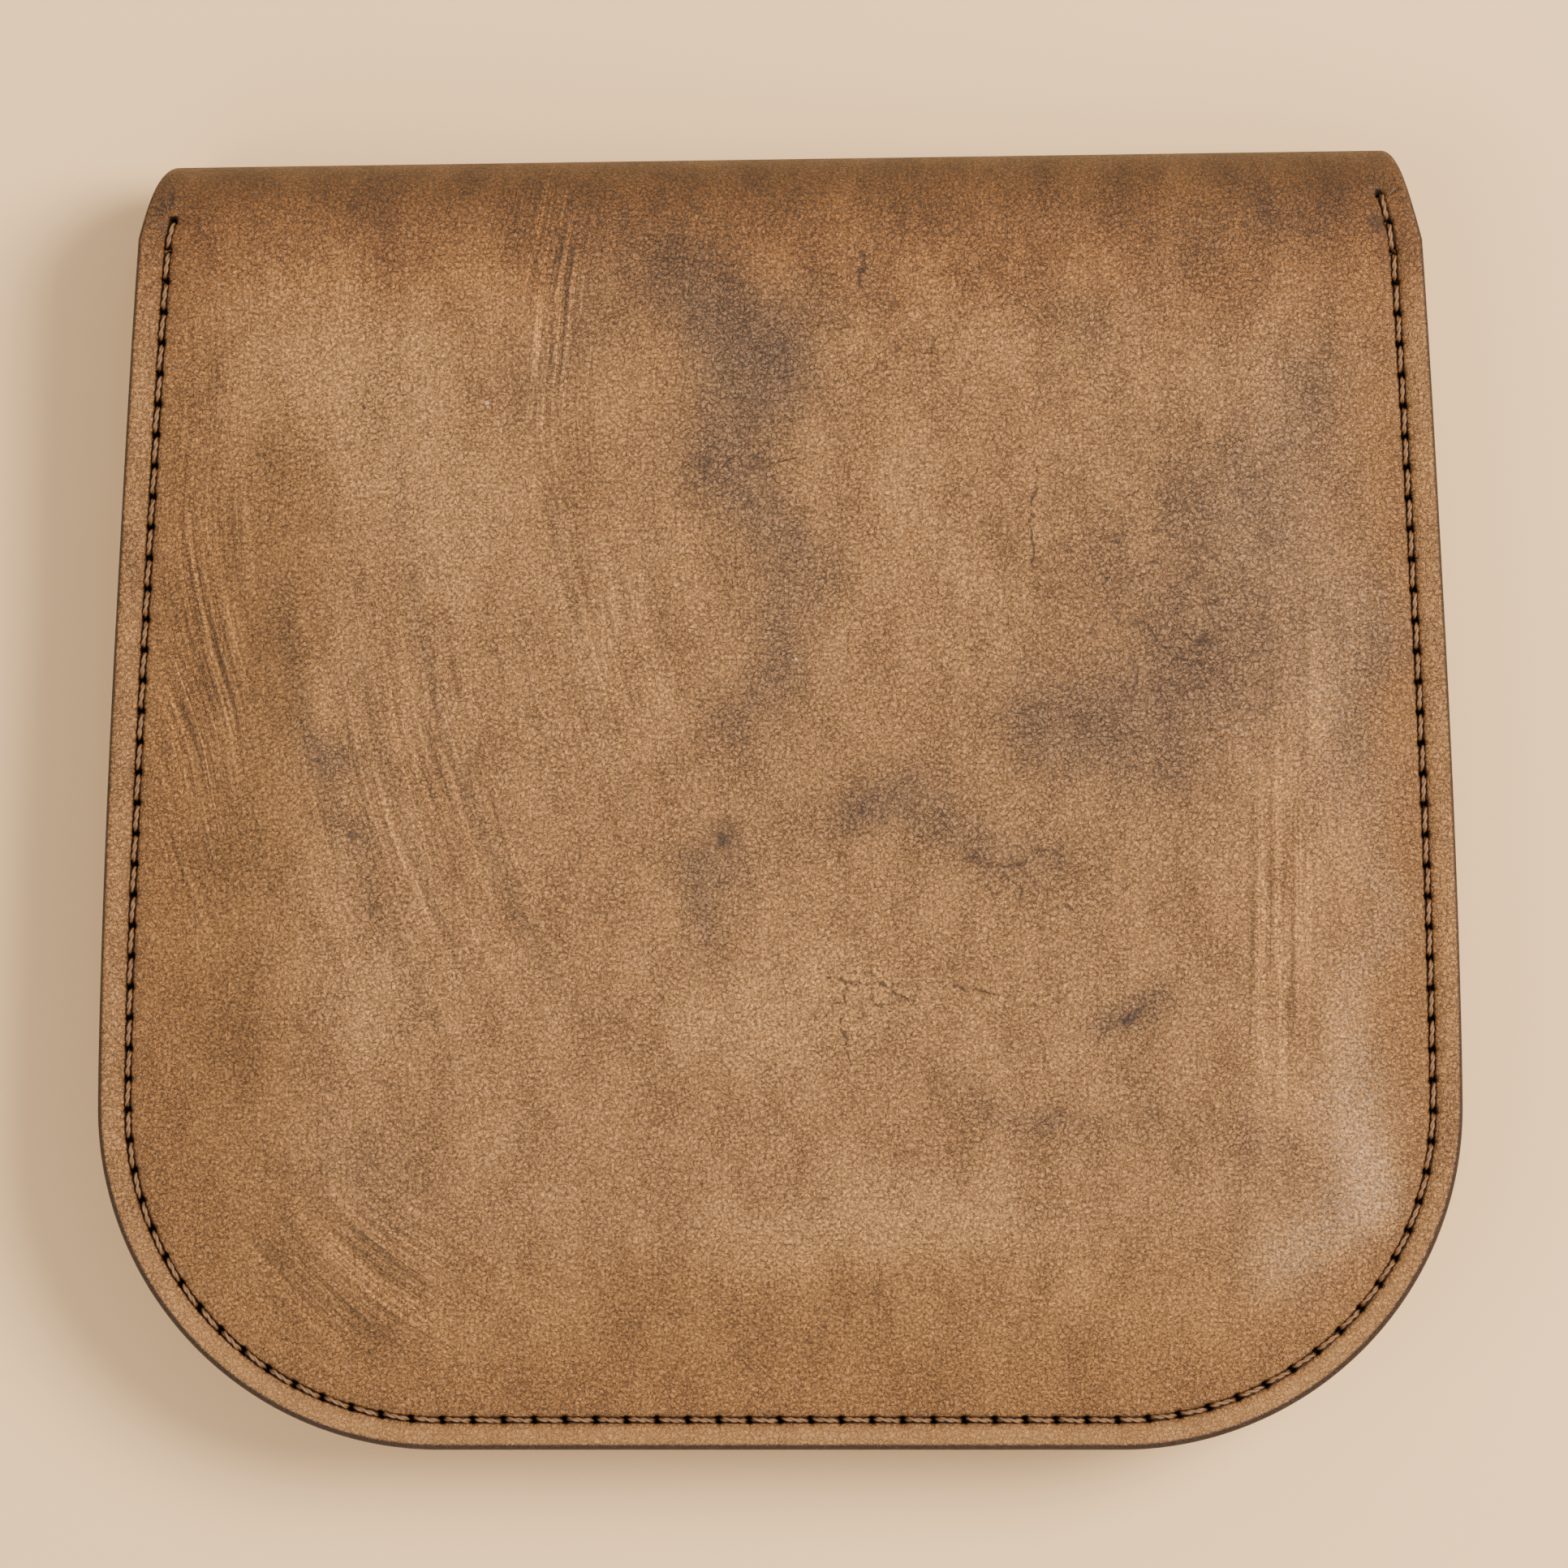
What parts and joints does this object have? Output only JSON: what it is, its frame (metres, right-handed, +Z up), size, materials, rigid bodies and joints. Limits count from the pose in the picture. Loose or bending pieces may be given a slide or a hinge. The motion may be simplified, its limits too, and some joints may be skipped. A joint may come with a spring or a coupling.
{
  "type": "coin purse",
  "caption": "Flat leather coin purse with a fold-over flap on two living creases, a saddle-stitched seam round three sides, a curved mouth and a press stud.",
  "frame": {"origin": "on the table, below the middle of the purse's outline, with the purse lying on its closed flap", "axes": "+X across the purse, +Y from the bottom seam to the fold, +Z up out of the back panel"},
  "size_m": [0.112, 0.1064, 0.0183],
  "materials": {
    "tan_leather": "vegetable-tanned, oiled, pebbled grain",
    "waxed_thread": "waxed linen, twisted",
    "brass": "polished, lightly worn",
    "spring_steel": "bright drawn wire"
  },
  "bodies": {
    "purse": {"back_panel": "tan_leather", "front_panel": "tan_leather", "back_stitches": "waxed_thread", "front_stitches": "waxed_thread", "snap_stud": "brass", "snap_post": "brass"},
    "fold": {"top_fold": "tan_leather"},
    "flap": {"flap": "tan_leather", "snap_cap": "brass", "snap_socket": "brass", "socket_ring_spring": "spring_steel"}
  },
  "joints": [
    {"name": "upper_crease", "type": "hinge", "parent": "purse", "child": "fold", "pos_m": [0, 0.05109, 0.01234], "axis": [1, 0, 0], "range_deg": [0, 90]},
    {"name": "lower_crease", "type": "hinge", "parent": "fold", "child": "flap", "pos_m": [0, 0.05109, 0.00206], "axis": [1, 0, 0], "range_deg": [0, 90]}
  ],
  "couplings": [
    {"joint": "lower_crease", "follows": "upper_crease", "ratio": 1}
  ]
}
